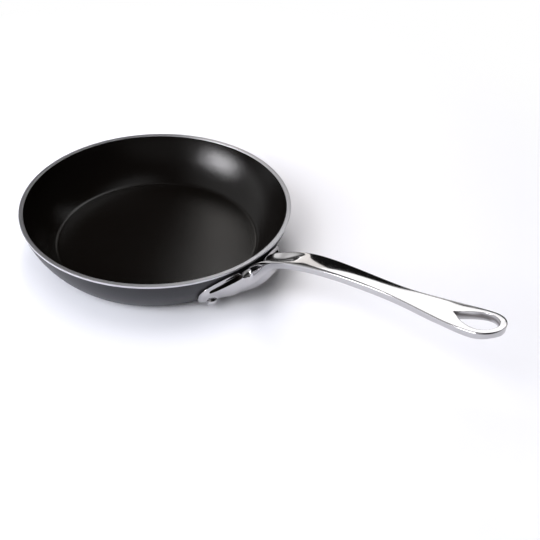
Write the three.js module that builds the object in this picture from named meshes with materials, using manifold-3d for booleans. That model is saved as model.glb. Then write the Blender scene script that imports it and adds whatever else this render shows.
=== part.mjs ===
// A 24 cm non-stick frying pan: a pressed aluminium body, its non-stick lining,
// a cast steel handle that ends in a hanging loop, and the two rivets that hold it on.
// Millimetres, +Z up. The origin is the centre of the flat base, and the handle points along +X.

import * as THREE from 'three';
import { mergeVertices } from 'three/addons/utils/BufferGeometryUtils.js';
import Module from 'manifold-3d';

const wasm = await Module();
wasm.setup();

// Pan body
const RIM_DIAMETER = 240; // over the outside of the rim
const PAN_HEIGHT = 43.5;
const FLARE = 27.5; // how far the wall leans out, from the edge of the base to the rim
const WALL_BEND_IN = 6.3; // the bend of the wall lies this far inside the rim
const WALL_BEND_UP = 17.9; // and this far above the base
const WALL = 3.6;
const FLOOR_THICKNESS = 3.6;
const FLOOR_FILLET = 3.5; // length of the soft corner between floor and wall
const RIM_EDGE = 0.5; // the rim's two edges are broken by this much

// Non-stick lining
const LINING = 0.4;
const LINING_GAP = 0.3; // between lining and body

// Handle: the top line of the neck, stem and loop is one curve from the rim to the far end
const HANDLE_REACH = 227; // from the rim to the far end
const HANDLE_RISE = 112.4; // height of the far end's top edge
const NECK_START = 38.5; // height at which the top line leaves the pan
const NECK_STANDOFF = 2; // and how far outside the rim
const NECK_PULL = new THREE.Vector2(42, 55); // from the start of the top line to its first handle
const END_PULL = new THREE.Vector2(105, 30.2); // from its second handle to the far end
const STEM_THICKNESS = 6.6;
const STEM_CROWN = 0.9; // how far the top of the stem swells
const NECK_WIDTH = 22;
const NECK_REACH = 28; // from the rim to the end of the neck
const HORN_BOTTOM = 9; // height on the wall at which the neck's under line starts
const HORN_PULL = new THREE.Vector2(33, 6); // from the start of the under line to its first handle
const NECK_UNDER_PULL = 10; // from its second handle to the end of the neck
const STEM_WIDTH = 14.7; // at the narrowest place
const STEM_REACH = 134; // from the rim to the narrowest place

// Hanging loop
const LOOP_WIDTH = 26.8;
const LOOP_HALF_LENGTH = 20; // from the widest place to the far end
const LOOP_HOLE_WIDTH = 21;
const LOOP_HOLE_POINT = 23; // from the hole's widest place to its point
const LOOP_HOLE_ROUND = 13.5; // from the hole's widest place to its round end
const LOOP_HOLE_ANGLE = 36; // degrees between the handle's axis and the hole's side at the point
const LOOP_END_WALL = 3.6;

// Flange that lies on the wall and swells into two arms towards the neck
const FLANGE_ANGLE = 24; // degrees from the middle to each end
const FLANGE_BOTTOM = 7; // heights on the wall
const FLANGE_TOP = 38.5;
const FLANGE_CORNER = 12; // length of the round ends
const FLANGE_END_HEIGHT = 18; // height of the outermost point of each end
const LIP = 1.8; // thickness of the flange's upper edge
const ARM_AT_RIVET = 5.6; // how far the arms stand off the wall at the rivets
const ARM_AT_NECK = 16; // and in the middle
const ARM_TOP_AT_NECK = 43; // height of the arms' upper edge in the middle
const ARM_TOP_AT_RIVET = 27; // and at the rivets
const ARM_SLOPE = 1.28; // millimetres that the upper edge drops for each degree towards the rivets
const POCKET_DEPTH = 9; // of the hollows between the arms and the flange's upper edge
const POCKET_WALL = 1.6; // left standing in front of a hollow
const POCKET_START = 5.5; // degrees from the middle to a hollow's inner end
const POCKET_END = 20.5; // and to its outer end
const NECK_POCKET_HALF = 3; // degrees from the middle to either end of the hollow behind the neck
const SEAT_GAP = 0.3; // between flange and wall

// Rivets
const RIVET_ANGLE = 18; // degrees either side of the handle
const RIVET_HEIGHT = 16; // height on the wall
const SHANK_DIAMETER = 4.8;
const SHANK_CLEARANCE = 0.3;
const HEAD_DIAMETER = 9;
const HEAD_HEIGHT = 2.6;
const INNER_HEAD_HEIGHT = 1.6;
const HEAD_GAP = 0.3; // between a head and what it seats on
const SPOT_MARGIN = 0.6; // flat seat round the outer head

// Smoothness
const TURN_STEPS = 72;
const WALL_STEPS = 10;
const FILLET_STEPS = 4;
const RING_POINTS = 28;
const SECTION_ROUNDING = 0.45; // 0 is a square section, 1 a round one
const FLANGE_STEPS = 14;
const HORN_STEPS = 12;
const STEM_STEPS = 24;
const LOOP_STEPS = 10;
const RIVET_STEPS = 24;
const MERGE = 0.01; // points of the cut handle that lie closer than this become one

const rimRadius = RIM_DIAMETER / 2;
const baseRadius = rimRadius - FLARE;
const v2 = (x, y) => new THREE.Vector2(x, y);
const v3 = (x, y, z) => new THREE.Vector3(x, y, z);

// The outside of the wall, seen in section: x is the radius and y the height.
const wallCurve = new THREE.QuadraticBezierCurve(
  v2(baseRadius, 0),
  v2(rimRadius - WALL_BEND_IN, WALL_BEND_UP),
  v2(rimRadius, PAN_HEIGHT),
);

// A point a given distance outside the wall, and the wall's outward direction there.
function wallPoint(t, distance) {
  const tangent = wallCurve.getTangent(t);
  const outward = v2(tangent.y, -tangent.x);
  const point = wallCurve.getPoint(t).addScaledVector(outward, distance);
  return { point, outward, tangent };
}

// The curve's parameter at a height on the wall.
function wallAtHeight(height) {
  const a = PAN_HEIGHT - 2 * WALL_BEND_UP;
  const b = 2 * WALL_BEND_UP;
  if (Math.abs(a) < 1e-9) return height / b;
  return (Math.sqrt(b * b + 4 * a * height) - b) / (2 * a);
}

// The wall moved outwards by a distance, from one height to another.
function wallLine(distance, low, high) {
  const line = [];
  const run = 2 * Math.abs(distance) + 1;
  for (let i = 0; i <= WALL_STEPS; i++) {
    line.push(wallPoint(i / WALL_STEPS, distance).point);
  }
  line.unshift(line[0].clone().addScaledVector(wallPoint(0, 0).tangent, -run));
  line.push(line.at(-1).clone().addScaledVector(wallPoint(1, 0).tangent, run));
  const kept = [];
  for (let i = 0; i + 1 < line.length; i++) {
    const [from, to] = [line[i], line[i + 1]];
    if (to.y <= low || from.y >= high) continue;
    const start = Math.max(0, (low - from.y) / (to.y - from.y));
    const end = Math.min(1, (high - from.y) / (to.y - from.y));
    if (kept.length === 0) kept.push(from.clone().lerp(to, start));
    kept.push(from.clone().lerp(to, end));
  }
  return kept;
}

// The inside of the pan from the axis to the rim, with a soft corner between floor and wall.
function insideLine(distance, floorHeight, top) {
  const wall = wallLine(distance, floorHeight, top);
  const corner = wall[0];
  const rest = wall.filter((p) => p.distanceTo(corner) > 1.2 * FLOOR_FILLET);
  const onWall = rest[0].clone().sub(corner).setLength(FLOOR_FILLET).add(corner);
  const onFloor = v2(corner.x - FLOOR_FILLET, floorHeight);
  const fillet = new THREE.QuadraticBezierCurve(onFloor, corner, onWall);
  return [v2(0, floorHeight), ...fillet.getPoints(FILLET_STEPS), ...rest];
}

function lathe(profile, steps) {
  return new THREE.LatheGeometry(profile, steps).rotateX(Math.PI / 2);
}

// Solids for joining and cutting
function solid(geometry) {
  const bare = geometry.clone();
  bare.deleteAttribute('normal');
  bare.deleteAttribute('uv');
  const merged = mergeVertices(bare, 1e-4);
  const mesh = new wasm.Mesh({
    numProp: 3,
    vertProperties: Float32Array.from(merged.attributes.position.array),
    triVerts: Uint32Array.from(merged.index.array),
  });
  return new wasm.Manifold(mesh);
}

function geometryOf(manifold) {
  const mesh = manifold.getMesh();
  const geometry = new THREE.BufferGeometry();
  geometry.setAttribute('position', new THREE.BufferAttribute(mesh.vertProperties, 3));
  geometry.setIndex(new THREE.BufferAttribute(mesh.triVerts, 1));
  geometry.computeVertexNormals();
  return geometry;
}

// A closed skin over rings that have the same number of points, with flat ends.
function skin(rings) {
  const count = rings[0].length;
  const points = rings.flat();
  const index = [];
  for (let r = 0; r + 1 < rings.length; r++) {
    for (let i = 0; i < count; i++) {
      const a = r * count + i;
      const b = r * count + ((i + 1) % count);
      index.push(a, b, b + count, a, b + count, a + count);
    }
  }
  const last = (rings.length - 1) * count;
  for (let i = 1; i + 1 < count; i++) {
    index.push(0, i + 1, i);
    index.push(last, last + i, last + i + 1);
  }
  const geometry = new THREE.BufferGeometry().setFromPoints(points);
  geometry.setIndex(index);
  return geometry;
}

// Body: the pressed shell, from the axis under the base to the axis on the floor
const rimOuter = wallLine(0, 0, PAN_HEIGHT).at(-1);
const rimInner = wallLine(-WALL, FLOOR_THICKNESS, PAN_HEIGHT).at(-1);
const bodyInside = insideLine(-WALL, FLOOR_THICKNESS, PAN_HEIGHT - RIM_EDGE);
const bodyProfile = [
  v2(0, 0),
  ...wallLine(0, 0, PAN_HEIGHT - RIM_EDGE),
  v2(rimOuter.x - RIM_EDGE, PAN_HEIGHT),
  v2(rimInner.x + RIM_EDGE, PAN_HEIGHT),
  ...bodyInside.reverse(),
];

// Lining: a film that covers the floor and the wall up to the bare rim
const liningBack = WALL + LINING_GAP;
const liningFace = liningBack + LINING;
const liningTop = PAN_HEIGHT - RIM_EDGE;
const liningUnder = insideLine(-liningBack, FLOOR_THICKNESS + LINING_GAP, liningTop);
const liningOver = insideLine(-liningFace, FLOOR_THICKNESS + LINING_GAP + LINING, liningTop);
const liningProfile = [...liningUnder, ...liningOver.reverse()];

// Rivets: a shank through lining, wall and flange, with a head at each end.
// Their own axis is Z, with zero on the outside of the wall.
const innerSeat = -(liningFace + HEAD_GAP);
const outerSeat = ARM_AT_RIVET + HEAD_GAP;
const shankRadius = SHANK_DIAMETER / 2;
const headRadius = HEAD_DIAMETER / 2;

function dome(seat, height) {
  const crown = new THREE.QuadraticBezierCurve(
    v2(headRadius, seat),
    v2(headRadius * 0.85, seat + height),
    v2(0, seat + height),
  );
  return crown.getPoints(5);
}

const rivetProfile = [
  ...dome(innerSeat, -INNER_HEAD_HEIGHT).reverse(),
  v2(shankRadius, innerSeat),
  v2(shankRadius, outerSeat),
  ...dome(outerSeat, HEAD_HEIGHT),
];

// A group that stands on the wall at a rivet, with its Z pointing straight out of the wall.
function rivetPlace(side) {
  const { point, outward } = wallPoint(wallAtHeight(RIVET_HEIGHT), 0);
  const angle = THREE.MathUtils.degToRad(side * RIVET_ANGLE);
  const turn = (p) => v3(p.x * Math.cos(angle), p.x * Math.sin(angle), p.y);
  const place = new THREE.Group();
  place.position.copy(turn(point));
  place.quaternion.setFromUnitVectors(v3(0, 0, 1), turn(outward));
  place.updateMatrix();
  return place;
}

const rivetPlaces = [rivetPlace(-1), rivetPlace(1)];

function rivetCut(place, radius, from, to) {
  const bar = [v2(0, from), v2(radius, from), v2(radius, to), v2(0, to)];
  return solid(lathe(bar, RIVET_STEPS).applyMatrix4(place.matrix));
}

const drillReach = 4 * (liningFace + outerSeat + HEAD_HEIGHT);
function drilled(manifold) {
  const radius = shankRadius + SHANK_CLEARANCE;
  return rivetPlaces.reduce((m, p) => m.subtract(rivetCut(p, radius, -drillReach, drillReach)), manifold);
}

// Places on the wall: an angle from the handle, a height on the wall and a distance outside it.
function onWall(angle, height, distance) {
  const { point } = wallPoint(wallAtHeight(height), distance);
  const turn = THREE.MathUtils.degToRad(angle);
  return v3(point.x * Math.cos(turn), point.x * Math.sin(turn), point.y);
}

// How the flange and its arms change with the angle from the middle.
const flangeRadius = wallPoint(wallAtHeight(FLANGE_END_HEIGHT), 0).point.x;
const cornerAngle = THREE.MathUtils.radToDeg(FLANGE_CORNER / flangeRadius);

function armAt(angle) {
  const { lerp, clamp } = THREE.MathUtils;
  const side = Math.abs(angle);
  const past = clamp((side - FLANGE_ANGLE + cornerAngle) / cornerAngle, 0, 1);
  const round = Math.sqrt(1 - past * past);
  const bottom = lerp(FLANGE_END_HEIGHT, FLANGE_BOTTOM, round);
  const top = lerp(FLANGE_END_HEIGHT + LIP, FLANGE_TOP, round);
  const near = 1 - Math.min(side / RIVET_ANGLE, 1);
  const standoff = lerp(ARM_AT_RIVET, ARM_AT_NECK, near ** 1.5) * lerp(0.35, 1, Math.sqrt(round));
  const rise = ARM_TOP_AT_RIVET + ARM_SLOPE * (RIVET_ANGLE - side);
  const edge = clamp(rise, lerp(bottom, top, 0.5), ARM_TOP_AT_NECK);
  const edgeStandoff = LIP + (standoff - LIP) * lerp(0.66, 1, near);
  return { bottom, top, standoff, edge, edgeStandoff, near };
}

// A slice of the flange: up the back, inside the wall, and down the front.
function flangeRing(angle) {
  const arm = armAt(angle);
  const { lerp } = THREE.MathUtils;
  const at = (share, distance) => onWall(angle, lerp(arm.bottom, arm.edge, share), distance);
  return [
    onWall(angle, arm.bottom, -LIP),
    onWall(angle, lerp(arm.bottom, arm.top, 0.5), -LIP),
    onWall(angle, arm.top, -LIP),
    onWall(angle, arm.top, LIP * 0.6),
    onWall(angle, arm.top - LIP * 0.4, LIP),
    onWall(angle, lerp(arm.top, arm.edge, 0.8), lerp(LIP, arm.edgeStandoff, 0.7)),
    at(1, arm.edgeStandoff),
    at(0.86, lerp(arm.edgeStandoff, arm.standoff, 0.6)),
    at(0.66, arm.standoff * lerp(1, 0.88, arm.near)),
    at(0.36, arm.standoff * lerp(1, 0.66, arm.near)),
    at(0.14, arm.standoff * lerp(0.88, 0.42, arm.near)),
    at(0.02, arm.standoff * lerp(0.55, 0.22, arm.near)),
  ];
}

function flange() {
  const rings = [];
  for (let i = -FLANGE_STEPS; i <= FLANGE_STEPS; i++) {
    const even = Math.sin(((Math.PI / 2) * i) / FLANGE_STEPS);
    rings.push(flangeRing(0.999 * FLANGE_ANGLE * even));
  }
  return solid(skin(rings));
}

// A hollow in the top of the flange, behind an arm or behind the neck.
function pocket(from, to) {
  const steps = 10;
  const rings = [];
  for (let i = 0; i <= steps; i++) {
    const share = i / steps;
    const angle = THREE.MathUtils.lerp(from, to, share);
    const arm = armAt(angle);
    const swell = Math.sqrt(Math.max(0.02, 1 - (2 * share - 1) ** 2));
    const front = Math.max(arm.edgeStandoff - POCKET_WALL, LIP + 0.3);
    const mouth = Math.min(arm.edge, arm.top);
    const floor = mouth - POCKET_DEPTH * swell;
    const middle = (LIP + front) / 2;
    const reach = ((front - LIP) / 2) * swell;
    rings.push([
      onWall(angle, floor, middle - 0.5 * reach),
      onWall(angle, mouth, middle - reach),
      onWall(angle, PAN_HEIGHT, middle - reach),
      onWall(angle, PAN_HEIGHT, middle + reach + POCKET_DEPTH),
      onWall(angle, mouth, middle + reach),
      onWall(angle, floor, middle + 0.5 * reach),
    ]);
  }
  return solid(skin(rings));
}

// Handle: the top line, and the width and depth along it
const topLine = new THREE.CubicBezierCurve(
  v2(rimRadius + NECK_STANDOFF, NECK_START),
  v2(rimRadius + NECK_STANDOFF, NECK_START).add(NECK_PULL),
  v2(rimRadius + HANDLE_REACH, HANDLE_RISE).sub(END_PULL),
  v2(rimRadius + HANDLE_REACH, HANDLE_RISE),
);

const loopMiddle = HANDLE_REACH - LOOP_HALF_LENGTH;

function stemHalfWidth(reach) {
  const { smoothstep, lerp } = THREE.MathUtils;
  if (reach < STEM_REACH) {
    return lerp(NECK_WIDTH, STEM_WIDTH, smoothstep(reach, NECK_REACH, STEM_REACH)) / 2;
  }
  const spread = lerp(STEM_WIDTH, LOOP_WIDTH, smoothstep(reach, STEM_REACH, loopMiddle)) / 2;
  const past = Math.max(0, reach - loopMiddle) / LOOP_HALF_LENGTH;
  return spread * Math.sqrt(Math.max(0.004, 1 - past * past));
}

// A point on the section that the neck and the stem share: a square with well rounded corners.
function roundedSquare(i) {
  const angle = (2 * Math.PI * (i + 0.5)) / RING_POINTS;
  const soft = (value) => Math.sign(value) * Math.abs(value) ** SECTION_ROUNDING;
  return [soft(Math.cos(angle)), soft(Math.sin(angle))];
}

// A slice of the stem: a rounded bar with a slightly swollen top.
function stemRing(reach) {
  const top = topLine.getPoint(findReach(reach));
  const half = stemHalfWidth(reach);
  const ring = [];
  for (let i = 0; i < RING_POINTS; i++) {
    const [across, up] = roundedSquare(i);
    const crown = up > 0 ? STEM_CROWN * (1 - across * across) : 0;
    ring.push(v3(top.x, half * across, top.y + (STEM_THICKNESS / 2) * (up - 1) + crown));
  }
  return ring;
}

// The horn of the neck: slices between the top line and an under line that swings out from the wall.
const neckT = findReach(NECK_REACH);
const hornRoot = wallPoint(wallAtHeight(HORN_BOTTOM), -LIP).point;
const neckUnder = topLine.getPoint(neckT).sub(v2(0, STEM_THICKNESS));
const hornUnder = new THREE.CubicBezierCurve(
  hornRoot,
  hornRoot.clone().add(HORN_PULL),
  neckUnder.clone().addScaledVector(topLine.getTangent(neckT), -NECK_UNDER_PULL),
  neckUnder,
);

function findReach(reach) {
  let [low, high] = [0, 1];
  for (let i = 0; i < 40; i++) {
    const middle = (low + high) / 2;
    if (topLine.getPoint(middle).x - rimRadius < reach) low = middle;
    else high = middle;
  }
  return low;
}

function hornRing(f) {
  const top = topLine.getPoint(neckT * f);
  const under = hornUnder.getPoint(f);
  const half = THREE.MathUtils.lerp(NECK_WIDTH / 2, ARM_AT_NECK, (1 - f) ** 2);
  const ring = [];
  for (let i = 0; i < RING_POINTS; i++) {
    const [across, up] = roundedSquare(i);
    const crown = up > 0 ? STEM_CROWN * f * (1 - across * across) : 0;
    const point = under.clone().lerp(top, (up + 1) / 2);
    ring.push(v3(point.x, half * across, point.y + crown));
  }
  return ring;
}

function stemAndLoop() {
  const rings = [];
  for (let i = 0; i < HORN_STEPS; i++) rings.push(hornRing(i / HORN_STEPS));
  for (let i = 0; i < STEM_STEPS; i++) {
    rings.push(stemRing(THREE.MathUtils.lerp(NECK_REACH, loopMiddle, i / STEM_STEPS)));
  }
  for (let i = 0; i <= LOOP_STEPS; i++) {
    rings.push(stemRing(loopMiddle + LOOP_HALF_LENGTH * Math.sin((Math.PI / 2) * (i / LOOP_STEPS))));
  }
  return solid(skin(rings));
}

// The loop's hole: a round end whose sides draw in to a point towards the pan.
function loopHole() {
  const half = LOOP_HOLE_WIDTH / 2;
  const end = rimRadius + HANDLE_REACH - LOOP_END_WALL;
  const middle = end - LOOP_HOLE_ROUND;
  const angle = THREE.MathUtils.degToRad(LOOP_HOLE_ANGLE);
  const run = LOOP_HOLE_POINT * 0.36;
  const [px, py] = [-LOOP_HOLE_POINT + run, run * Math.tan(angle)];
  const shape = new THREE.Shape();
  shape.moveTo(-LOOP_HOLE_POINT, 0);
  shape.bezierCurveTo(px, -py, -LOOP_HOLE_POINT * 0.45, -half, 0, -half);
  shape.bezierCurveTo(LOOP_HOLE_ROUND * 0.55, -half, LOOP_HOLE_ROUND, -half * 0.55, LOOP_HOLE_ROUND, 0);
  shape.bezierCurveTo(LOOP_HOLE_ROUND, half * 0.55, LOOP_HOLE_ROUND * 0.55, half, 0, half);
  shape.bezierCurveTo(-LOOP_HOLE_POINT * 0.45, half, px, py, -LOOP_HOLE_POINT, 0);
  const height = 6 * STEM_THICKNESS;
  const cut = new THREE.ExtrudeGeometry(shape, { depth: height, bevelEnabled: false, curveSegments: 8 });
  const t = findReach(middle - rimRadius);
  const tangent = topLine.getTangent(t);
  cut.translate(0, 0, -height / 2);
  cut.rotateY(-Math.atan2(tangent.y, tangent.x));
  cut.translate(middle, 0, topLine.getPoint(t).y);
  return solid(cut);
}

// Everything inside the wall's outside, with the seat's gap: what the handle must keep clear of.
function wallEnvelope() {
  const outside = wallLine(SEAT_GAP, -SEAT_GAP, PAN_HEIGHT);
  const above = PAN_HEIGHT + FLANGE_TOP;
  const profile = [v2(0, -SEAT_GAP), ...outside, v2(outside.at(-1).x, above), v2(0, above)];
  return solid(lathe(profile, TURN_STEPS));
}

function handleSolid() {
  let handle = flange().add(stemAndLoop());
  handle = handle.subtract(pocket(POCKET_START, POCKET_END));
  handle = handle.subtract(pocket(-POCKET_END, -POCKET_START));
  handle = handle.subtract(pocket(-NECK_POCKET_HALF, NECK_POCKET_HALF));
  handle = handle.subtract(loopHole());
  handle = handle.subtract(wallEnvelope());
  const spot = headRadius + SPOT_MARGIN;
  for (const place of rivetPlaces) {
    handle = handle.subtract(rivetCut(place, spot, ARM_AT_RIVET, drillReach));
  }
  return drilled(handle).simplify(MERGE);
}

// The finished pieces
function piece(name, geometry, colour, roughness, metalness) {
  const material = new THREE.MeshStandardMaterial({ color: colour, roughness, metalness });
  const mesh = new THREE.Mesh(geometry, material);
  mesh.name = name;
  return mesh;
}

const pan = new THREE.Group();
const bodySolid = drilled(solid(lathe(bodyProfile, TURN_STEPS)));
const liningSolid = drilled(solid(lathe(liningProfile, TURN_STEPS)));
pan.add(piece('pan_body', geometryOf(bodySolid), 0x46454a, 0.45, 0.6));
pan.add(piece('nonstick_lining', geometryOf(liningSolid), 0x14120f, 0.4, 0));
pan.add(piece('handle', geometryOf(handleSolid()), 0xbfbdc2, 0.12, 1));
['rivet_left', 'rivet_right'].forEach((name, i) => {
  const place = rivetPlaces[i];
  place.add(piece(name, lathe(rivetProfile, RIVET_STEPS), 0xc8c6ca, 0.2, 1));
  pan.add(place);
});

export default pan;
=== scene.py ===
"""A 24 cm non-stick frying pan on a white studio floor."""

import math

import bmesh
import bpy
from mathutils import Matrix, Vector


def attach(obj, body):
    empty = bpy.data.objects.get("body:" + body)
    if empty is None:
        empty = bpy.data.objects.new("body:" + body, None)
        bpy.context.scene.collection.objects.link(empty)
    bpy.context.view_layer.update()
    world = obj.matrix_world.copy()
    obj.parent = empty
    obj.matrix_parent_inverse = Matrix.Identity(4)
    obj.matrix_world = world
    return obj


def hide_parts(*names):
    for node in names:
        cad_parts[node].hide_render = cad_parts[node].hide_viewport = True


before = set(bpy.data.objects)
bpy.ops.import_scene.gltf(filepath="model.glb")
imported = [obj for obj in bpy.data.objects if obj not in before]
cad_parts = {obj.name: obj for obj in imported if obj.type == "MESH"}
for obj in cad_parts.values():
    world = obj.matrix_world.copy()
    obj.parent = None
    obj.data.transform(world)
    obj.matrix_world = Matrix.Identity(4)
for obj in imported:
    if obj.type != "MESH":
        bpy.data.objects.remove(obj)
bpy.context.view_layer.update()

MM = 0.001
HALVINGS = 50  # rounds in which a place on a curve is narrowed down

# Pan, in millimetres
BASE_RADIUS = 92.5
BASE_RINGS = (0.0, 40.0, 84.0)
BASE_EDGE = 2.2  # how far the round edge between base and wall reaches from its corner
BASE_EDGE_IN = 0.3  # the corner lies this far inside the base's radius
WALL_BEND = (113.7, 17.9)
RIM_RADIUS = 120.0
RIM_EDGE = 0.5  # reach of the rim's inner edge
RIM_OUTER_EDGE = 0.7
RIM_BELOW = 1.2  # the wall's lines end this far below the rim
PAN_HEIGHT = 43.5
WALL = 3.6
FLOOR = 3.6
FLOOR_RING = 40.0
FLOOR_CORNER = 1.8
OUTSIDE_START = 1.0  # height at which the wall's outer line starts
INSIDE_START = 2.0  # and its inner line, above the floor
OUTSIDE_STEPS = 26
INSIDE_STEPS = 22
CURVE_END = 1.2  # the wall's curve is followed to here, with the rim at 1
TURN_STEPS = 180
MERGE_DISTANCE = 0.01
SMOOTH_ANGLE = 35.0  # edges that turn by more degrees than this stay sharp

# Lining
LINING_GAP = 0.3
LINING_THICKNESS = 0.4
LINING_BACK = WALL + LINING_GAP
LINING_FACE = LINING_BACK + LINING_THICKNESS
LINING_TOP = PAN_HEIGHT - RIM_EDGE
LINING_RINGS = (0.0, 30.0, 60.0)
LINING_STEPS = 24
FLOOR_FILLET = 2.4
FILLET_STEPS = 8
FILLET_TOP = 3.4  # the wall's line starts this far above the floor
FLOOR_HOLD = 1.2  # a ring this far inside the fillet keeps the floor flat

# Rivets
RIVET_ANGLE = 18.0
RIVET_HEIGHT = 16.0
RIVET_STEPS = 48
SHANK_RADIUS = 2.4
HEAD_RADIUS = 4.5
HEAD_HEIGHT = 3.4
HEAD_EDGE = 0.25  # height of the edge under the dome
HEAD_UNDERCUT = 0.35
HEAD_FULLNESS = 0.9
HEAD_STEPS = 8
INNER_HEAD_HEIGHT = 1.6
HEAD_GAP = 0.3  # between the inner head and the lining
OUTER_SEAT = 5.9
INNER_SEAT = -(LINING_FACE + HEAD_GAP)

# Handle, with places given by their distance from the pan's axis
TOP_LINE = ((122.0, 38.5), (164.0, 93.5), (242.0, 82.2), (347.0, 112.4))
TOP_LINE_STEP = 0.01  # the line's direction is taken over this share of it on both sides
NECK_END = 150.0
NECK_WIDTH = 22.0
TAPER_START = 148.0
STEM_NARROW = 254.0
STEM_WIDTH = 14.7
LOOP_MIDDLE = 330.0
LOOP_END = 346.9
LOOP_WIDTH = 29.4
THICKNESS = 6.4
CROWN = 0.9  # how far the top swells, up to where it flattens towards the loop
CROWN_FADE = (232.0, 282.0)
LEAN_FADE = (318.0, 342.0)  # where the sections turn upright towards the loop's end
CHANNEL = 4.2  # depth of the channel on top of the neck
CHANNEL_FADE = (152.0, 176.0)
CHANNEL_SHARES = (1.0, 0.8)
PINCH = 2.6  # how much narrower the neck is where it joins the stem
PINCH_FADE = (142.0, 166.0)
HOLE_TIP = 308.0
HOLE_MIDDLE = 330.0
HOLE_END = 342.2
HOLE_HALF = 10.3
HOLE_SIDE = (1.55, -0.1, -0.45)  # the hole's swelling side, in powers of the way from its tip
HOLE_POINT = 0.3  # half width of the hole's tip
HOLE_LEAD = 6.0  # the lines beside the hole start to part this far before its tip
HOLE_CREASE = 0.8
HOLE_CUTS = 2
HOLE_SHADE_AND_DULL = 0.8  # share of painted shade in its wall's colour and of rough finish, from 0 for polished to 1 as in the hollows
HOLE_MARGIN = 1.0  # allowance in finding the points of its wall
SMOOTH_LEVELS = 3


def deselect():
    if bpy.context.mode != "OBJECT":
        bpy.ops.object.mode_set(mode="OBJECT")
    bpy.ops.object.select_all(action="DESELECT")


def finish_piece(piece, name, node, material):
    piece.name = name
    piece.data.name = name
    piece.data.materials.clear()
    piece.data.materials.append(material)
    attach(piece, "root")
    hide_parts(node)


def smooth(value, low, high):
    t = min(1.0, max(0.0, (value - low) / (high - low)))
    return t * t * (3 - 2 * t)


# The wall's outside, seen in section: a curve from the base to the rim
def wall_share(height):
    a = PAN_HEIGHT - 2 * WALL_BEND[1]
    b = 2 * WALL_BEND[1]
    return (math.sqrt(b * b + 4 * a * height) - b) / (2 * a)


def wall_point(share, out):
    p0, p1, p2 = (BASE_RADIUS, 0.0), WALL_BEND, (RIM_RADIUS, PAN_HEIGHT)
    radius, height = ((1 - share) ** 2 * a + 2 * share * (1 - share) * b + share**2 * c
                      for a, b, c in zip(p0, p1, p2))
    dr, dz = (2 * (1 - share) * (b - a) + 2 * share * (c - b) for a, b, c in zip(p0, p1, p2))
    length = math.hypot(dr, dz)
    return radius + out * dz / length, height - out * dr / length


def on_wall(angle, height, out):
    radius, z = wall_point(wall_share(height), out)
    turn = math.radians(angle)
    return Vector((radius * math.cos(turn), radius * math.sin(turn), z)) * MM


def wall_at(out, height):
    low, high = 0.0, CURVE_END
    for _ in range(HALVINGS):
        middle = (low + high) / 2
        if wall_point(middle, out)[1] > height:
            high = middle
        else:
            low = middle
    return wall_point((low + high) / 2, out)


def wall_line(out, low, high, steps):
    return [wall_at(out, low + (high - low) * i / steps) for i in range(steps + 1)]


# Turned pieces: a profile drawn point by point and spun about the axis
def turned(profile, steps):
    deselect()
    bpy.ops.mesh.primitive_plane_add(size=MM, location=(0, 0, 0))
    bpy.ops.object.mode_set(mode="EDIT")
    bpy.context.tool_settings.mesh_select_mode = (True, False, False)
    bpy.ops.mesh.select_all(action="SELECT")
    bpy.ops.mesh.merge(type="CENTER")
    here = (0.0, 0.0)
    for count, (radius, height) in enumerate(profile):
        step = ((radius - here[0]) * MM, 0, (height - here[1]) * MM)
        if count == 0:
            bpy.ops.transform.translate(value=step)
        else:
            bpy.ops.mesh.extrude_vertices_move(TRANSFORM_OT_translate={"value": step})
        here = (radius, height)
    bpy.ops.mesh.select_all(action="SELECT")
    bpy.ops.mesh.spin(steps=steps, angle=2 * math.pi, center=(0, 0, 0), axis=(0, 0, 1))
    bpy.ops.mesh.select_all(action="SELECT")
    bpy.ops.mesh.remove_doubles(threshold=MERGE_DISTANCE * MM)
    bpy.ops.mesh.normals_make_consistent(inside=False)
    bpy.ops.object.mode_set(mode="OBJECT")
    piece = bpy.context.object
    bpy.ops.object.shade_smooth_by_angle(angle=math.radians(SMOOTH_ANGLE))
    return piece


# A corner turned into a curve that reaches equally far along both of its sides
def rounded(corner, before, after, reach, steps):
    corner, before, after = Vector(corner), Vector(before), Vector(after)
    start = corner + (before - corner).normalized() * reach
    end = corner + (after - corner).normalized() * reach
    points = []
    for i in range(steps + 1):
        t = i / steps
        points.append(tuple(start * (1 - t) ** 2 + corner * 2 * t * (1 - t) + end * t**2))
    return points


def make_body():
    outside = wall_line(0, OUTSIDE_START, PAN_HEIGHT - RIM_BELOW, OUTSIDE_STEPS)
    inside = wall_line(-WALL, FLOOR + INSIDE_START, PAN_HEIGHT - RIM_BELOW, INSIDE_STEPS)
    rim_out = wall_point(1.0, 0)
    rim_in = wall_at(-WALL, PAN_HEIGHT)
    floor_corner = wall_at(-WALL, FLOOR)
    base_corner = (BASE_RADIUS - BASE_EDGE_IN, 0.0)
    profile = [(radius, 0.0) for radius in BASE_RINGS]
    profile += rounded(base_corner, (0.0, 0.0), outside[1], BASE_EDGE, steps=6)
    profile += outside[2:]
    profile += rounded(rim_out, outside[-1], rim_in, RIM_OUTER_EDGE, steps=4)
    profile += rounded(rim_in, rim_out, inside[-1], RIM_EDGE, steps=3)
    profile += inside[::-1]
    profile += rounded(floor_corner, inside[0], (0.0, FLOOR), FLOOR_CORNER, steps=4)
    profile += [(FLOOR_RING, FLOOR), (0.0, FLOOR)]
    return turned(profile, TURN_STEPS)


def make_lining():
    def line(out):
        floor = FLOOR - WALL - out
        corner = wall_at(out, floor)
        wall = wall_line(out, floor + FILLET_TOP, LINING_TOP, LINING_STEPS)
        rings = [*LINING_RINGS, corner[0] - FLOOR_FILLET - FLOOR_HOLD]
        return [*((radius, floor) for radius in rings),
                *rounded(corner, (0.0, floor), wall[0], FLOOR_FILLET, FILLET_STEPS), *wall[1:]]

    return turned(line(-LINING_BACK) + line(-LINING_FACE)[::-1], TURN_STEPS)


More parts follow.
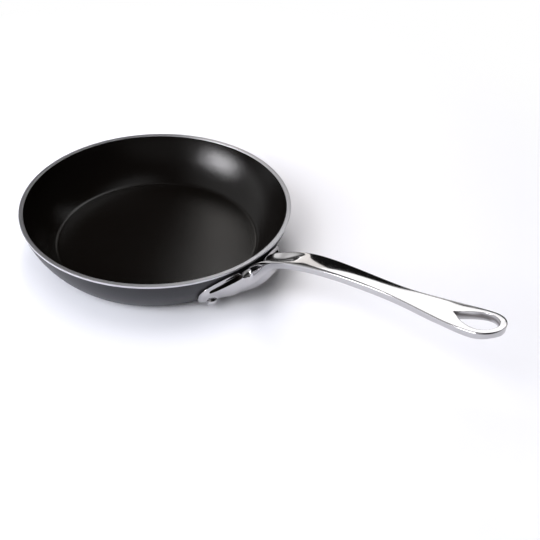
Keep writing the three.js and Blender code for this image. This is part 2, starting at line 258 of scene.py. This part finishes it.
def make_rivet(side):
    def head(seat, height):
        edge = math.copysign(HEAD_EDGE, height)
        points = [(HEAD_RADIUS - HEAD_UNDERCUT, seat), (HEAD_RADIUS, seat + edge)]
        for i in range(1, HEAD_STEPS):
            turn = math.radians(90 * i / HEAD_STEPS)
            radius = HEAD_RADIUS * math.cos(turn) ** HEAD_FULLNESS
            points.append((radius, seat + edge + (height - edge) * math.sin(turn)))
        return [*points, (0.0, seat + height)]

    inner = head(INNER_SEAT, -INNER_HEAD_HEIGHT)[::-1]
    shank = [(SHANK_RADIUS, INNER_SEAT), (SHANK_RADIUS, OUTER_SEAT)]
    piece = turned(inner + shank + head(OUTER_SEAT, HEAD_HEIGHT), RIVET_STEPS)
    foot = on_wall(side * RIVET_ANGLE, RIVET_HEIGHT, 0)
    out = (on_wall(side * RIVET_ANGLE, RIVET_HEIGHT, 1) - foot).normalized()
    turn = out.to_track_quat("Z", "Y").to_matrix().to_4x4()
    piece.matrix_world = Matrix.Translation(foot) @ turn
    deselect()
    piece.select_set(True)
    bpy.context.view_layer.objects.active = piece
    bpy.ops.object.transform_apply(location=True, rotation=True, scale=True)
    return piece


# The flange's section at each angle from the middle, as pairs of height on the wall and distance
# from it. The rows are back low, back middle, back top, lip, mouth back, mouth middle, arm edge,
# front upper, front middle, front low and bottom.
FLANGE = {
    0.0: ((7.6, .4), (23, .4), (38.2, .4), (38.8, 1.9), (37.4, 3.0), (40.0, 6.0), (43.5, 9.2),
          (34.5, 13.9), (22.5, 10.6), (12.5, 6.2), (7.0, 1.6)),
    2.4: ((7.6, .4), (23, .4), (38.2, .4), (38.8, 1.9), (37.4, 3.0), (40.4, 5.9), (44.0, 9.1),
          (34.5, 13.9), (22.5, 10.6), (12.5, 6.1), (7.0, 1.6)),
    4.8: ((7.6, .4), (23, .4), (38.2, .4), (39.0, 1.8), (42.2, 2.9), (43.6, 5.9), (44.0, 8.9),
          (35.5, 13.6), (22.0, 11.0), (11.8, 6.8), (6.8, 1.8)),
    5.9: ((7.6, .4), (23, .4), (38.3, .4), (39.0, 1.8), (42.0, 2.9), (42.9, 5.7), (43.0, 8.6),
          (34.5, 13.1), (21.6, 10.8), (11.6, 6.7), (6.8, 1.8)),
    7.4: ((7.6, .4), (23, .4), (38.7, .4), (39.3, 1.8), (39.2, 2.5), (40.8, 5.1), (41.8, 8.3),
          (32.8, 12.3), (20.6, 10.4), (11.6, 6.5), (6.8, 1.8)),
    9.0: ((7.6, .4), (23, .4), (39.0, .4), (39.6, 1.8), (37.6, 2.5), (38.2, 4.9), (39.0, 7.9),
          (31, 11.3), (19.8, 9.7), (11.5, 6.2), (6.8, 1.8)),
    12.0: ((7.6, .4), (23, .4), (39.0, .4), (39.6, 1.8), (36.7, 2.4), (36.3, 4.3), (35.8, 6.6),
           (28.4, 8.8), (18.7, 7.6), (11.6, 5.0), (7.0, 1.6)),
    15.0: ((7.6, .4), (23, .4), (37.9, .4), (38.5, 1.8), (34.5, 2.4), (33.1, 3.7), (31.6, 5.2),
           (25.4, 6.8), (17.0, 6.4), (11.2, 4.8), (7.0, 1.6)),
    18.0: ((7.8, .4), (22.5, .4), (35.6, .4), (36.2, 1.7), (31.9, 2.3), (30.5, 3.3), (28.9, 4.5),
           (23.6, 5.8), (16.5, 5.9), (11.0, 4.9), (7.0, 1.8)),
    20.5: ((8.4, .4), (21.5, .4), (33.1, .4), (33.7, 1.7), (29.8, 2.4), (28.8, 3.3), (27.8, 4.3),
           (22.6, 5.4), (16.5, 5.7), (11.4, 4.9), (7.8, 2.2)),
    22.5: ((10.4, .5), (20.5, .5), (29.7, .5), (30.5, 1.7), (28.2, 2.5), (27.0, 3.3), (25.4, 4.2),
           (21.6, 5.0), (17.0, 5.2), (12.8, 4.4), (9.8, 2.0)),
    23.6: ((13.8, .6), (20.0, .6), (26.2, .6), (27.0, 1.6), (25.6, 2.3), (24.6, 3.0), (23.4, 3.6),
           (21.0, 4.2), (18.0, 4.3), (15.0, 3.6), (13.2, 1.9)),
    24.3: ((17.6, .7), (19.6, .7), (22.4, .7), (23.0, 1.2), (22.6, 1.7), (22.0, 2.1), (21.2, 2.6),
           (20.2, 3.0), (19.0, 3.0), (18.0, 2.5), (17.4, 1.5)),
}
ANGLES = sorted({sign * angle for angle in FLANGE for sign in (-1, 1)})
ROWS = 11
MOUTH_BACK, ARM_EDGE, FRONT_LOW = 4, 6, 9
NECK_ANGLE = 4.8

# The front spreads where the neck joins it, by so many degrees on each row.
FLARE = (0, 0, 0, 0, 0, 0, 0.2, 1.5, 2.2, 2.4, 0)
FLARE_END = 15.0

# The hollows behind the arms: their ends, and the steps in which they are pressed in
HOLLOW_START = 7.4
HOLLOW_END = 20.5
HOLLOW_RIM = 0.4
HOLLOW_LEAD = (-0.6, 0.0, -1.2)
HOLLOW_TUCK = 0.1
HOLLOW_SINK = (-2.2, 0.0, -6.8)
HOLLOW_ROUND = 0.5


def flange_point(angle, row):
    height, out = FLANGE[abs(angle)][row]
    spread = FLARE[row] * smooth(abs(angle), 0.0, NECK_ANGLE)
    spread *= 1 - smooth(abs(angle), NECK_ANGLE, FLARE_END)
    return on_wall(angle + math.copysign(spread, angle), height, out)


def bezier(points, t):
    weights = ((1 - t) ** 3, 3 * t * (1 - t) ** 2, 3 * t * t * (1 - t), t**3)
    return sum((Vector(p) * w for p, w in zip(points, weights)), Vector((0.0,) * len(points[0])))


def top_point(x):
    low, high = 0.0, 1.0
    for _ in range(HALVINGS):
        middle = (low + high) / 2
        if bezier(TOP_LINE, middle)[0] < x:
            low = middle
        else:
            high = middle
    after = bezier(TOP_LINE, min(1, low + TOP_LINE_STEP))
    before = bezier(TOP_LINE, low - TOP_LINE_STEP)
    return bezier(TOP_LINE, low), (after - before).normalized()


def half_width(x):
    if x < STEM_NARROW:
        wide = NECK_WIDTH + (STEM_WIDTH - NECK_WIDTH) * smooth(x, TAPER_START, STEM_NARROW)
        return (wide - PINCH * (1 - smooth(x, *PINCH_FADE))) / 2
    half = (STEM_WIDTH + (LOOP_WIDTH - STEM_WIDTH) * smooth(x, STEM_NARROW, LOOP_MIDDLE)) / 2
    past = max(0.0, x - LOOP_MIDDLE) / (LOOP_END - LOOP_MIDDLE)
    return half * math.sqrt(max(0.0, 1 - past * past))


def hole_half(x):
    if x <= HOLE_MIDDLE:
        t = max(0.0, (x - HOLE_TIP) / (HOLE_MIDDLE - HOLE_TIP))
        a, b, c = HOLE_SIDE
        return HOLE_HALF * (a * t + b * t**2 + c * t**3)
    t = min(1.0, (x - HOLE_MIDDLE) / (HOLE_END - HOLE_MIDDLE))
    return HOLE_HALF * math.sqrt(max(0.0, 1 - t * t))


# The stem's half section, from the middle of the top to the middle of the underside: a share of
# the half width, and a distance down from the top. Rails run along the handle at these places, the
# first ones on the -Y side and the others, in reverse, on the +Y side.
SECTION = ((0.0, 0.0), (0.42, 0.0), (0.76, 0.0), (0.955, 0.05), (1.0, 0.75), (1.0, 3.3),
           (0.985, THICKNESS - 0.6), (0.74, THICKNESS), (0.38, THICKNESS), (0.0, THICKNESS))
TOP_PLACES = (0, 1, 2, 3)
UNDER_MIDDLE = len(SECTION) - 1
RAIL_COUNT = 2 * UNDER_MIDDLE
TOP_RAILS = (RAIL_COUNT - 1, 0, 1)
UNDER_RAILS = (UNDER_MIDDLE - 1, UNDER_MIDDLE, UNDER_MIDDLE + 1)
HOLE_PLACES = {1: 0.0, 2: 0.5, 7: 0.5, 8: 0.0}  # share of the way from the hole's edge outwards


def rail_place(rail):
    return (rail, -1) if rail <= UNDER_MIDDLE else (RAIL_COUNT - rail, 1)


def stem_point(x, rail):
    place, side = rail_place(rail)
    share, down = SECTION[place]
    half = half_width(x)
    across = share * half
    (px, pz), ahead = top_point(min(x, LOOP_END))
    if x > HOLE_TIP - HOLE_LEAD and place in HOLE_PLACES:
        inner = hole_half(x)
        edge = inner + (half - inner) * HOLE_PLACES[place]
        across = max(edge, min(across, HOLE_POINT))
    if place in TOP_PLACES:
        down -= CROWN * (1 - smooth(x, *CROWN_FADE)) * (1 - share * share)
    if place < len(CHANNEL_SHARES):
        down += CHANNEL * (1 - smooth(x, *CHANNEL_FADE)) * CHANNEL_SHARES[place]
    lean = ahead[1] * (1 - smooth(x, *LEAN_FADE))
    return Vector((px + down * lean, side * across, pz - down * ahead[0])) * MM


# The neck: each point of its root runs on a smooth rail to the stem's first section. A rail leaves
# the flange along (outward, inward, up), and meets the stem along its line, whose rise is scaled,
# for the length given.
RAILS = (
    ((5.0, 0.0, 5.0), 17.0, 0.6), ((5.0, 0.0, 6.0), 17.0, 0.6), ((5.0, 0.0, 11.0), 16.0, 0.7),
    ((8.0, 1.0, 6.5), 15.0, 1.0), ((8.0, 1.5, 7.5), 14.0, 1.0), ((7.0, 3.5, 11.0), 13.0, 1.0),
    ((12.0, 4.5, 12.0), 12.0, 1.0), ((19.0, 4.0, 10.0), 11.0, 1.0),
    ((24.0, 1.5, 6.0), 11.0, 1.0), ((26.0, 0.0, 6.0), 11.0, 1.0),
)
NECK_SHARES = (0.18, 0.36, 0.54, 0.72, 0.87, 1.0)
STEM_STATIONS = (158, 167, 176, 186, 196, 207, 218, 229, 240, 251, 262, 273, 283, 292, 298, 303,
                 306.2, 308, 309.5, 313, 318, 324, 330, 334.5, 338, 340.4, 341.7, 342.2,
                 344.0, 345.5, 346.4, 346.75)
NECK_COLUMN = 100  # the flange's columns are numbered from 0, the neck's and the stem's from here
STEM_COLUMN = NECK_COLUMN + len(NECK_SHARES)


def neck_point(root, rail, share):
    place, side = rail_place(rail)
    (out, inward, up), pull, rise = RAILS[place]
    end = stem_point(NECK_END, rail)
    ahead = top_point(NECK_END)[1]
    start = root + Vector((out, -side * inward, up)) * MM
    back = end - Vector((ahead[0], 0.0, ahead[1] * rise)) * pull * MM
    return bezier((root, start, back, end), share)


# Handle: the points of its mesh carry the numbers of their row, column and rail
def numbered(piece, *names):
    grid = bmesh.from_edit_mesh(piece.data)
    return grid, *(grid.verts.layers.int[name] for name in names)


# The flange is drawn along the wall from one end to the other.
def draw_flange():
    deselect()
    bpy.ops.mesh.primitive_circle_add(vertices=ROWS, radius=10 * MM, fill_type="NGON")
    bpy.ops.object.mode_set(mode="EDIT")
    piece = bpy.context.object
    grid = bmesh.from_edit_mesh(piece.data)
    for name in ("row", "column", "rail"):
        grid.verts.layers.int.new(name)
    grid.verts.layers.float.new("inside")
    grid, row = numbered(piece, "row")
    for number, v in enumerate(grid.verts):
        v[row] = number
        v.co = flange_point(ANGLES[0], number)
    bpy.ops.mesh.select_all(action="SELECT")
    for count, angle in enumerate(ANGLES[1:], 1):
        bpy.ops.mesh.extrude_region_move()
        grid, row, column = numbered(piece, "row", "column")
        for v in grid.verts:
            if v.select:
                v[column] = count
                v.co = flange_point(angle, v[row])
    return piece


def root_rail(row, angle):
    beside = abs(angle) < NECK_ANGLE
    if row == MOUTH_BACK and beside:
        number = int(angle != 0)
    elif row == FRONT_LOW and beside:
        number = UNDER_MIDDLE - int(angle != 0)
    else:
        number = row - MOUTH_BACK + 2
    return number if angle <= 0 else (RAIL_COUNT - number) % RAIL_COUNT


# The middle of the flange's front opens, and the neck and stem are drawn out of the opening.
def draw_stem(piece):
    grid, row, column = numbered(piece, "row", "column")
    middle = [f for f in grid.faces if len(f.verts) == 4
              and all(abs(ANGLES[v[column]]) <= NECK_ANGLE for v in f.verts)
              and all(MOUTH_BACK <= v[row] <= FRONT_LOW for v in f.verts)]
    bmesh.ops.delete(grid, geom=middle, context="FACES")
    bmesh.update_edit_mesh(piece.data)
    bpy.ops.mesh.select_all(action="DESELECT")
    grid, row, column, rail = numbered(piece, "row", "column", "rail")
    roots = {}
    for v in grid.verts:
        if any(e.is_boundary for e in v.link_edges):
            v[rail] = root_rail(v[row], ANGLES[v[column]])
            roots[v[rail]] = v.co.copy()
    for e in grid.edges:
        e.select_set(e.is_boundary)
    bpy.context.tool_settings.mesh_select_mode = (False, True, False)
    bmesh.update_edit_mesh(piece.data)
    for count, station in enumerate(NECK_SHARES + STEM_STATIONS, NECK_COLUMN):
        bpy.ops.mesh.extrude_edges_indiv()
        grid, column, rail = numbered(piece, "column", "rail")
        for v in grid.verts:
            if not v.select:
                continue
            v[column] = count
            if count < STEM_COLUMN:
                v.co = neck_point(roots[v[rail]], v[rail], station)
            else:
                v.co = stem_point(station, v[rail])
        bmesh.update_edit_mesh(piece.data)
    bpy.ops.mesh.edge_face_add()


# The middle of the loop's top and underside open, and a wall joins them, marked for painted shade
# and a rough finish.
def open_loop(piece):
    first, last = (STEM_COLUMN + STEM_STATIONS.index(x) for x in (HOLE_TIP, HOLE_END))
    grid, column, rail = numbered(piece, "column", "rail")
    opened = [f for f in grid.faces if len(f.verts) == 4
              and all(first <= v[column] <= last for v in f.verts)
              and any(all(v[rail] in rails for v in f.verts) for rails in (TOP_RAILS, UNDER_RAILS))]
    bmesh.ops.delete(grid, geom=opened, context="FACES")
    loose = [v for v in grid.verts if not v.link_faces]
    bmesh.ops.delete(grid, geom=loose, context="VERTS")
    for e in grid.edges:
        e.select_set(e.is_boundary)
    bmesh.update_edit_mesh(piece.data)
    bpy.ops.transform.edge_crease(value=HOLE_CREASE)
    bpy.ops.mesh.bridge_edge_loops(number_cuts=HOLE_CUTS)
    grid = bmesh.from_edit_mesh(piece.data)
    inside = grid.verts.layers.float["inside"]
    for v in grid.verts:
        x, y, z = v.co / MM
        depth = top_point(min(x, LOOP_END))[0][1] - z
        in_hole = x > HOLE_TIP - HOLE_MARGIN and abs(y) < hole_half(x) + HOLE_MARGIN
        if in_hole and HOLE_MARGIN < depth < THICKNESS - HOLE_MARGIN:
            v[inside] = HOLE_SHADE_AND_DULL
    bmesh.update_edit_mesh(piece.data)


# The mouth between the lip and each arm's edge is pressed in, and its inside is marked, so that the
# finish there gets painted shade, a near-black colour, and is left rough.
def press_hollow(piece, side):
    def move(step):
        return {"value": tuple(length * MM for length in step)}

    bpy.ops.mesh.select_all(action="DESELECT")
    grid, row, column = numbered(piece, "row", "column")
    for f in grid.faces:
        columns = [v[column] for v in f.verts]
        if max(columns) >= NECK_COLUMN or len(columns) != 4:
            continue
        turns = [side * ANGLES[c] for c in columns]
        rows = [v[row] for v in f.verts]
        f.select_set(HOLLOW_START <= min(turns) and max(turns) <= HOLLOW_END
                     and MOUTH_BACK <= min(rows) and max(rows) <= ARM_EDGE)
    bmesh.update_edit_mesh(piece.data)
    bpy.ops.mesh.inset(thickness=HOLLOW_RIM * MM, depth=0.0, use_even_offset=True)
    bpy.ops.mesh.extrude_region_move(TRANSFORM_OT_translate=move(HOLLOW_LEAD))
    grid = bmesh.from_edit_mesh(piece.data)
    inside = grid.verts.layers.float["inside"]
    for v in grid.verts:
        if v.select:
            v[inside] = 1.0
    bmesh.update_edit_mesh(piece.data)
    bpy.ops.mesh.inset(thickness=HOLLOW_TUCK * MM, depth=0.0)
    bpy.ops.mesh.extrude_region_move(TRANSFORM_OT_translate=move(HOLLOW_SINK))
    bpy.ops.mesh.inset(thickness=HOLLOW_ROUND * MM, depth=HOLLOW_ROUND * MM)


def make_handle():
    piece = draw_flange()
    draw_stem(piece)
    open_loop(piece)
    bpy.context.tool_settings.mesh_select_mode = (False, False, True)
    for side in (-1, 1):
        press_hollow(piece, side)
    bpy.ops.mesh.select_all(action="SELECT")
    bpy.ops.mesh.normals_make_consistent(inside=False)
    bpy.ops.object.mode_set(mode="OBJECT")
    soft = piece.modifiers.new("Smooth", "SUBSURF")
    soft.levels = soft.render_levels = SMOOTH_LEVELS
    bpy.ops.object.modifier_apply(modifier=soft.name)
    bpy.ops.object.shade_smooth()
    return piece


# Materials
class Value:
    """A node's output that can be used in sums."""

    def __init__(self, shader, socket):
        self.shader = shader
        self.socket = socket

    def _math(self, operation, a, b):
        return self.shader.node("ShaderNodeMath", {"operation": operation}, {0: a, 1: b})

    def __add__(self, other):
        return self._math("ADD", self, other)

    def __radd__(self, other):
        return self._math("ADD", other, self)

    def __sub__(self, other):
        return self._math("SUBTRACT", self, other)

    def __rsub__(self, other):
        return self._math("SUBTRACT", other, self)

    def __mul__(self, other):
        return self._math("MULTIPLY", self, other)

    def __rmul__(self, other):
        return self._math("MULTIPLY", other, self)

    def __pow__(self, other):
        return self._math("POWER", self, other)

    def __rpow__(self, other):
        return self._math("POWER", other, self)


class Shader:
    """A material or world and the nodes in it."""

    def __init__(self, owner):
        owner.use_nodes = True
        self.owner = owner
        self.tree = owner.node_tree
        self.tree.nodes.clear()

    def node(self, kind, settings=None, inputs=None, output=0):
        made = self.tree.nodes.new(kind)
        for name, value in (settings or {}).items():
            setattr(made, name, value)
        for name, value in (inputs or {}).items():
            socket = made.inputs[name]
            if isinstance(value, Value):
                self.tree.links.new(value.socket, socket)
            elif socket.type == "RGBA":
                socket.default_value = (*value, 1.0)
            else:
                socket.default_value = value
        return Value(self, made.outputs[output]) if made.outputs else None

    def mix(self, share, a, b):
        # A Mix node's colours are its sockets 6 and 7, and its colour comes out of socket 2.
        return self.node("ShaderNodeMix", {"data_type": "RGBA"}, {0: share, 6: a, 7: b}, 2)

    def place(self):
        return self.node("ShaderNodeTexCoord", output="Object")

    def ray(self, kind):
        return self.node("ShaderNodeLightPath", output=f"Is {kind} Ray")

    def noise(self, vector, scale, detail, rough):
        return self.node("ShaderNodeTexNoise", {},
                         {"Vector": vector, "Scale": scale, "Detail": detail, "Roughness": rough})

    def between(self, value, start, end, low=0.0, high=1.0):
        return self.node("ShaderNodeMapRange", {"interpolation_type": "SMOOTHSTEP"},
                         {"Value": value, "From Min": start, "From Max": end,
                          "To Min": low, "To Max": high})

    def bump(self, height, distance):
        return self.node("ShaderNodeBump", {}, {"Height": height, "Distance": distance}, "Normal")

    def finish(self, inputs):
        surface = self.node("ShaderNodeBsdfPrincipled", {}, inputs)
        self.node("ShaderNodeOutputMaterial", {}, {"Surface": surface})
        return self.owner


# Pairs of tones are the darkest and the lightest place of a finish. Lengths are in metres.
ANODISED_TONES = ((0.016, 0.0157, 0.0187), (0.021, 0.0205, 0.0243))
ANODISED_METAL = 0.25
ANODISED_ROUGH = 0.36
ANODISED_SHINE = 0.36
BARE_TONES = ((0.575, 0.57, 0.595), (0.67, 0.665, 0.69))
BARE_START = 0.0411
BARE_END = 0.0415
BODY_BUMP = 0.00004


def anodised_body():
    s = Shader(bpy.data.materials.new("anodised_body"))
    place = s.place()
    x, y, z = (s.node("ShaderNodeSeparateXYZ", {}, {"Vector": place}, axis) for axis in "XYZ")
    radius = (x * x + y * y) ** 0.5
    bare = s.between(z, BARE_START, BARE_END)
    grain = s.noise(place, scale=900.0, detail=3.0, rough=0.6)
    cloud = s.noise(place, scale=26.0, detail=3.0, rough=0.5)
    rings = s.node("ShaderNodeTexNoise", {"noise_dimensions": "1D"},
                   {"W": radius, "Scale": 2600.0, "Detail": 2.0})
    dark = s.mix(cloud, *ANODISED_TONES)
    bright = s.mix(rings, *BARE_TONES)
    return s.finish({
        "Base Color": s.mix(bare, dark, bright),
        "Metallic": bare * (1 - ANODISED_METAL) + ANODISED_METAL,
        "Specular IOR Level": ANODISED_SHINE,
        "Roughness": ANODISED_ROUGH + 0.08 * grain + bare * (0.04 + 0.08 * rings),
        "Normal": s.bump(grain * (1 - bare) + bare * rings * 0.5, BODY_BUMP),
    })


NONSTICK_TONES = ((0.0032, 0.0025, 0.002), (0.004, 0.0032, 0.0026))
NONSTICK_SPECK = (0.006, 0.0054, 0.0048)
NONSTICK_ROUGH = 0.12
NONSTICK_SHINE = 0.33
NONSTICK_BUMP = 0.00011
SPECK_START = 0.66
SPECK_END = 0.74
SPECK_SHARE = 0.5


def nonstick():
    s = Shader(bpy.data.materials.new("nonstick_lining"))
    place = s.place()
    grain = s.noise(place, scale=1300.0, detail=3.0, rough=0.6)
    cloud = s.noise(place, scale=18.0, detail=3.0, rough=0.5)
    spots = s.noise(place, scale=700.0, detail=1.0, rough=0.4)
    speck = s.between(spots, SPECK_START, SPECK_END, 0.0, SPECK_SHARE)
    base = s.mix(cloud, *NONSTICK_TONES)
    return s.finish({
        "Base Color": s.mix(speck, base, NONSTICK_SPECK),
        "Roughness": NONSTICK_ROUGH + 0.05 * grain,
        "Specular IOR Level": NONSTICK_SHINE,
        "Normal": s.bump(grain, NONSTICK_BUMP),
    })


STEEL = (0.49, 0.48, 0.488)
STEEL_SHADE = 0.97
STEEL_TONES = (tuple(c * STEEL_SHADE for c in STEEL), STEEL)
STEEL_BUMP = 0.000004
# Painted shade: a near-black colour that darkens the hollows behind the arms and the hole's wall
RECESS_PAINTED_SHADE = (0.07, 0.06, 0.055)
AS_CAST_ROUGH = 0.4
HANDLE_ROUGH = 0.07
RIVET_ROUGH = 0.11


def polished_steel(name, rough):
    s = Shader(bpy.data.materials.new(name))
    place = s.place()
    cloud = s.noise(place, scale=60.0, detail=3.0, rough=0.5)
    fine = s.noise(place, scale=1500.0, detail=2.0, rough=0.5)
    # The marked hollows and hole wall get painted shade in their colour, and a rougher finish
    recess_shade_and_rough = s.node("ShaderNodeAttribute", {"attribute_name": "inside"}, {}, "Fac")
    return s.finish({
        "Base Color": s.mix(recess_shade_and_rough, s.mix(cloud, *STEEL_TONES), RECESS_PAINTED_SHADE),
        "Metallic": 1.0,
        "Roughness": rough + 0.03 * cloud + 0.015 * fine + AS_CAST_ROUGH * recess_shade_and_rough,
        "Normal": s.bump(fine, STEEL_BUMP),
    })


# Camera, in metres and degrees
CAMERA_PLACE = (0.54498, -0.45102, 0.52026)
CAMERA_AZIMUTH = 42.0
CAMERA_ELEVATION = 38.119
CAMERA_ROLL = 2.068
CAMERA_LENS = 63.33
CAMERA_SENSOR = 36.0
CAMERA_REACH = 50.0

# Studio, seen from the camera: right and away lie level, away points at the back
TURN = math.radians(CAMERA_AZIMUTH)
RIGHT = Vector((math.cos(TURN), math.sin(TURN), 0.0))
AWAY = Vector((-math.sin(TURN), math.cos(TURN), 0.0))
UP = Vector((0.0, 0.0, 1.0))

# Floor: white near the pan, where shadows fall, and fading into a plain white ground. Its far part
# is dark in reflections.
FLOOR_SIZE = 40.0
FLOOR_DROP = 0.0002
FLOOR_WHITE = (0.96, 0.96, 0.96)
FLOOR_FAR = (0.05, 0.05, 0.05)
FLOOR_MIDDLE = (0.04, -0.02, 0.0)
FADE = (0.25, 0.6)
FAR_FADE = (0.42, 0.62)

# Room: a dim light all round, and what shows in the pan's shine: the left side, brighter low
# down, a patch overhead and a weaker one in front
ROOM_LIGHT = 0.01
LEFT_SIDE = (0.2, 0.7)
LEFT_SHINE = (0.01, 1.25)
LOW_PART = (0.12, 0.36)
LOW_SHARE = (1.0, 0.48)
OVERHEAD = (0.78, 0.9)
OVERHEAD_SHINE = (0.0, 0.8)
OVERHEAD_SIDE = (-0.3, 0.05)
FRONT_SIDE = (0.7, 0.95)
FRONT_SHINE = (0.0, 0.16)

# Lamps
LAMP_AIM = Vector((0.05, 0.0, 0.03))
LAMP_DISTANCE = 1.4
LAMP_SIZE = (0.7, 0.7)
WHITE = (1.0, 1.0, 1.0)
COOL = (0.97, 0.965, 1.0)
LILAC = (1.0, 0.975, 1.012)
SKY = (0.9, 0.945, 1.11)
WARM = (1.0, 0.965, 0.93)

# Soft lamps that light the floor and the pan but don't show in its shine: azimuth, elevation,
# glow and colour
SOFT_LAMPS = {
    "left_low": (-108.0, 20.0, 6.3, SKY),
    "left_middle": (-108.0, 42.0, 2.8, SKY),
    "key": (-78.0, 42.0, 5.8, COOL),
    "front": (-18.0, 42.0, 1.3, COOL),
    "back": (132.0, 42.0, 4.6, LILAC),
    "back_high": (132.0, 68.0, 2.2, LILAC),
    "left_high": (-138.0, 68.0, 2.1, LILAC),
    "roof": (0.0, 89.0, 1.3, LILAC),
    "right_low": (162.0, 20.0, 1.1, COOL),
}

# A bright lamp beside the pan that shows in its shine only, given in the same way
SIDE_SHINE = (-108.0, 18.5, 17.0, COOL)
SIDE_DISTANCE = 1.35
SIDE_SIZE = (0.64, 0.48)

# Panels behind the pan that show in its shine only: left, right, lower and upper edge, glow,
# colour and tilt
BACK_PANELS = {
    "upper_panel": (0.0, 0.35, 0.315, 0.6, 2.3, WHITE, 0.0),
    "left_panel": (0.021, 0.07, 0.0, 0.33, 1.45, WARM, -8.0),
    "right_panel": (0.25, 0.3, 0.2, 0.255, 2.3, WHITE, 0.0),
}
BACK_DISTANCE = 0.3


def make_camera():
    rise, roll = math.radians(CAMERA_ELEVATION), math.radians(CAMERA_ROLL)
    ahead = AWAY * math.cos(rise) - UP * math.sin(rise)
    up = RIGHT.cross(ahead)
    across = RIGHT * math.cos(roll) + up * math.sin(roll)
    upright = up * math.cos(roll) - RIGHT * math.sin(roll)
    data = bpy.data.cameras.new("camera")
    data.lens = CAMERA_LENS
    data.sensor_width = CAMERA_SENSOR
    data.clip_end = CAMERA_REACH
    camera = bpy.data.objects.new("camera", data)
    bpy.context.collection.objects.link(camera)
    turn = Matrix((across, upright, -ahead)).transposed().to_4x4()
    camera.matrix_world = Matrix.Translation(CAMERA_PLACE) @ turn
    bpy.context.scene.camera = camera


def make_floor():
    deselect()
    bpy.ops.mesh.primitive_plane_add(size=FLOOR_SIZE, location=(0, 0, -FLOOR_DROP))
    floor = bpy.context.object
    floor.name = "studio_floor"
    s = Shader(bpy.data.materials.new("studio_floor"))
    distance = s.node("ShaderNodeVectorMath", {"operation": "DISTANCE"},
                      {0: s.place(), 1: FLOOR_MIDDLE}, "Value")
    far = s.ray("Glossy") * s.between(distance, *FAR_FADE)
    colour = s.mix(far, FLOOR_WHITE, FLOOR_FAR)
    diffuse = s.node("ShaderNodeBsdfDiffuse", {}, {"Color": colour})
    white = s.node("ShaderNodeEmission", {}, {"Color": WHITE, "Strength": 1.0})
    share = s.ray("Camera") * s.between(distance, *FADE)
    both = s.node("ShaderNodeMixShader", {}, {0: share, 1: diffuse, 2: white})
    s.node("ShaderNodeOutputMaterial", {}, {"Surface": both})
    floor.data.materials.append(s.owner)


def make_world():
    world = bpy.data.worlds.new("studio")
    bpy.context.scene.world = world
    s = Shader(world)
    camera, glossy = s.ray("Camera"), s.ray("Glossy")
    ahead = s.node("ShaderNodeTexCoord", output="Generated")
    left, front, up = (
        s.node("ShaderNodeVectorMath", {"operation": "DOT_PRODUCT"}, {0: ahead, 1: side}, "Value")
        for side in (-RIGHT, -AWAY, UP))
    low = s.between(up, *LOW_PART, *LOW_SHARE)
    shine = s.between(left, *LEFT_SIDE, *LEFT_SHINE) * low
    overhead = s.between(up, *OVERHEAD, *OVERHEAD_SHINE)
    shine = shine + overhead * s.between(left, *OVERHEAD_SIDE, 1.0, 0.0)
    shine = shine + s.between(front, *FRONT_SIDE, *FRONT_SHINE)
    strength = camera + (1 - camera) * (glossy * shine + (1 - glossy) * ROOM_LIGHT)
    back = s.node("ShaderNodeBackground", {}, {"Color": WHITE, "Strength": strength})
    s.node("ShaderNodeOutputWorld", {}, {"Surface": back})


def soft_box(name, place, face, size, glow, colour, shiny):
    data = bpy.data.lights.new(name, "AREA")
    data.shape = "RECTANGLE"
    data.size, data.size_y = size
    data.energy = glow * math.pi * size[0] * size[1]
    data.color = colour
    lamp = bpy.data.objects.new(name, data)
    bpy.context.collection.objects.link(lamp)
    lamp.location = place
    lamp.rotation_euler = face.to_track_quat("Z", "Y").to_euler()
    lamp.visible_camera = False
    lamp.visible_glossy = shiny
    lamp.visible_diffuse = not shiny
    return lamp


def round_box(name, azimuth, elevation, glow, colour, distance, size, shiny):
    turn, rise = math.radians(azimuth), math.radians(elevation)
    level = Vector((math.cos(turn), math.sin(turn), 0.0))
    outward = level * math.cos(rise) + UP * math.sin(rise)
    soft_box(name, LAMP_AIM + outward * distance, outward, size, glow, colour, shiny)


def back_panel(name, left, right, low, high, glow, colour, tilt):
    middle = AWAY * BACK_DISTANCE + RIGHT * (left + right) / 2 + UP * (low + high) / 2
    lamp = soft_box(name, middle, AWAY, (right - left, high - low), glow, colour, True)
    lamp.rotation_euler.rotate_axis("Z", math.radians(tilt))


make_camera()
finish_piece(make_body(), "body_shell", "pan_body", anodised_body())
finish_piece(make_lining(), "nonstick_coat", "nonstick_lining", nonstick())
handle_finish = polished_steel("polished_handle", HANDLE_ROUGH)
finish_piece(make_handle(), "cast_handle", "handle", handle_finish)
rivet_finish = polished_steel("steel_rivet", RIVET_ROUGH)
for side, node in ((-1, "rivet_left"), (1, "rivet_right")):
    finish_piece(make_rivet(side), node + "_turned", node, rivet_finish)

make_floor()
make_world()
for name, lamp in SOFT_LAMPS.items():
    round_box(name, *lamp, LAMP_DISTANCE, LAMP_SIZE, shiny=False)
round_box("side_shine", *SIDE_SHINE, SIDE_DISTANCE, SIDE_SIZE, shiny=True)
for name, panel in BACK_PANELS.items():
    back_panel(name, *panel)

bpy.context.scene.view_settings.view_transform = "Standard"
